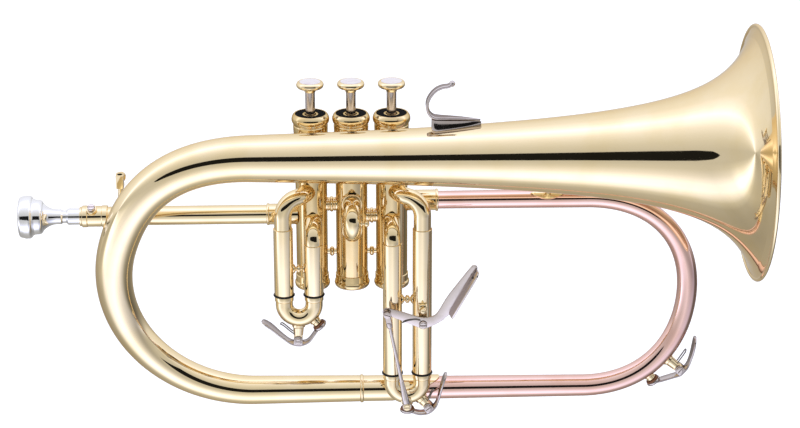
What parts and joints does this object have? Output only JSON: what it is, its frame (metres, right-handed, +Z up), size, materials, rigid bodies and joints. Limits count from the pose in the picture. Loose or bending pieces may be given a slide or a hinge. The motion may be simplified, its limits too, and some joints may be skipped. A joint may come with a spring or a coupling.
{
  "type": "flugelhorn",
  "caption": "Flugelhorn with a wide conical bell, piston valves, pull slides, a finger trigger on the third slide, water keys and a cup mouthpiece.",
  "frame": {"origin": "on the axis of the middle valve, half-way up its casing, where the hand holds the horn", "axes": "+X towards the bell mouth, +Z up along the valves to the buttons, -Y towards the valve slides and the bell"},
  "size_m": [0.4412, 0.1528, 0.2501],
  "materials": {
    "lacquered_brass": "yellow brass, mirror polished under clear gold lacquer",
    "valve_brass": "yellow brass, polished under clear lacquer, deeper gold",
    "rose_brass": "rose brass, mirror polished under clear lacquer",
    "nickel_silver": "nickel silver, satin to polished",
    "silver_plate": "silver plate, mirror polished",
    "monel": "lapped nickel-copper alloy",
    "spring_steel": "drawn spring wire",
    "cork": "natural water-key cork",
    "black_felt": "pressed black felt",
    "black_rubber": "black rubber ring",
    "pearl": "white mother-of-pearl style inlay"
  },
  "bodies": {
    "horn": {"bell": "lacquered_brass", "bell_tail_ferrule": "lacquered_brass", "bottom_cap_1": "valve_brass", "bottom_cap_2": "valve_brass", "bottom_cap_3": "valve_brass", "cap_felts": "black_felt", "casing_1": "valve_brass", "casing_2": "valve_brass", "casing_3": "valve_brass", "exit_ferrule": "lacquered_brass", "finger_hook": "nickel_silver", "key_main_base": "lacquered_brass", "key_main_screw": "nickel_silver", "lyre_holder": "lacquered_brass", "mouthpipe": "lacquered_brass", "mouthpipe_clamp": "lacquered_brass", "rose_branch": "rose_brass", "slide_1_sleeves": "lacquered_brass", "slide_2_sleeves": "lacquered_brass", "slide_3_sleeves": "lacquered_brass", "stays": "lacquered_brass", "top_cap_1": "valve_brass", "top_cap_2": "valve_brass", "top_cap_3": "valve_brass", "trigger_post": "lacquered_brass", "trigger_screw": "nickel_silver", "valve_links": "lacquered_brass", "valve_spring_1": "spring_steel", "valve_spring_2": "spring_steel", "valve_spring_3": "spring_steel"},
    "valve_1": {"piston_1": "monel", "button_1": "lacquered_brass", "pearl_1": "pearl"},
    "valve_2": {"piston_2": "monel", "button_2": "lacquered_brass", "pearl_2": "pearl"},
    "valve_3": {"piston_3": "monel", "button_3": "lacquered_brass", "pearl_3": "pearl"},
    "slide_1": {"slide_1_crook": "lacquered_brass", "slide_1_rings": "black_rubber", "key_1_base": "lacquered_brass", "key_1_screw": "nickel_silver"},
    "slide_2": {"slide_2_crook": "lacquered_brass"},
    "slide_3": {"slide_3_crook": "lacquered_brass", "slide_3_rings": "black_rubber", "key_3_base": "lacquered_brass", "key_3_screw": "nickel_silver", "rod_foot": "lacquered_brass"},
    "key_1": {"key_1_lever": "nickel_silver", "key_1_cork": "cork"},
    "key_3": {"key_3_lever": "nickel_silver", "key_3_cork": "cork"},
    "key_main": {"key_main_lever": "nickel_silver", "key_main_cork": "cork"},
    "trigger": {"trigger_lever": "nickel_silver"},
    "rod": {"trigger_rod": "nickel_silver"},
    "tuning_shank": {"tuning_shank": "lacquered_brass"},
    "mouthpiece": {"mouthpiece": "silver_plate"},
    "clamp_screw": {"clamp_screw": "nickel_silver"}
  },
  "joints": [
    {"name": "valve_1_press", "type": "slide", "parent": "horn", "child": "valve_1", "axis": [0, 0, -1], "range_m": [0, 0.013], "stiffness_N_per_m": 100, "springref_m": -0.02, "deforming": ["valve_spring_1"]},
    {"name": "valve_2_press", "type": "slide", "parent": "horn", "child": "valve_2", "axis": [0, 0, -1], "range_m": [0, 0.013], "stiffness_N_per_m": 100, "springref_m": -0.02, "deforming": ["valve_spring_2"]},
    {"name": "valve_3_press", "type": "slide", "parent": "horn", "child": "valve_3", "axis": [0, 0, -1], "range_m": [0, 0.013], "stiffness_N_per_m": 100, "springref_m": -0.02, "deforming": ["valve_spring_3"]},
    {"name": "slide_1_pull", "type": "slide", "parent": "horn", "child": "slide_1", "axis": [0, 0, -1], "range_m": [0, 0.015]},
    {"name": "slide_2_pull", "type": "slide", "parent": "horn", "child": "slide_2", "axis": [0, -1, 0], "range_m": [0, 0.004]},
    {"name": "trigger_turn", "type": "hinge", "parent": "horn", "child": "trigger", "pos_m": [0.0423, -0.0299, -0.0693], "axis": [0, -1, 0], "range_deg": [0, 20], "stiffness_Nm_per_rad": 0.06, "springref_deg": -22.92},
    {"name": "slide_3_pull", "type": "slide", "parent": "horn", "child": "slide_3", "axis": [0, 0, -1], "range_m": [0, 0.0076]},
    {"name": "rod_swing", "type": "hinge", "parent": "slide_3", "child": "rod", "pos_m": [0.0325, -0.033, -0.1226], "axis": [0, -1, 0], "range_deg": [0, 2]},
    {"name": "key_1_open", "type": "hinge", "parent": "slide_1", "child": "key_1", "pos_m": [-0.0335, -0.02, -0.082], "axis": [0, 1, 0], "range_deg": [0, 14], "stiffness_Nm_per_rad": 0.02, "springref_deg": -28.65},
    {"name": "key_3_open", "type": "hinge", "parent": "slide_3", "child": "key_3", "pos_m": [0.0459, -0.02, -0.1286], "axis": [0, -1, 0], "range_deg": [0, 14], "stiffness_Nm_per_rad": 0.02, "springref_deg": -28.65},
    {"name": "key_main_open", "type": "hinge", "parent": "horn", "child": "key_main", "pos_m": [0.2042, 0, -0.1147], "axis": [0, -1, 0], "range_deg": [0, 10], "stiffness_Nm_per_rad": 0.02, "springref_deg": -28.65},
    {"name": "shank_pull", "type": "slide", "parent": "horn", "child": "tuning_shank", "axis": [-1, 0, 0], "range_m": [0, 0.012]},
    {"name": "mouthpiece_pull", "type": "slide", "parent": "tuning_shank", "child": "mouthpiece", "axis": [-1, 0, 0], "range_m": [0, 0.03]},
    {"name": "clamp_screw_turn", "type": "hinge", "parent": "horn", "child": "clamp_screw", "pos_m": [-0.1571, -0.00382, -0.00274], "axis": [0, -0.5878, 0.809], "range_deg": [0, 180]}
  ],
  "couplings": [
    {"joint": "trigger_turn", "follows": "slide_3_pull", "rad_per_m": 45.517},
    {"joint": "rod_swing", "follows": "slide_3_pull", "rad_per_m": 3.8234}
  ]
}
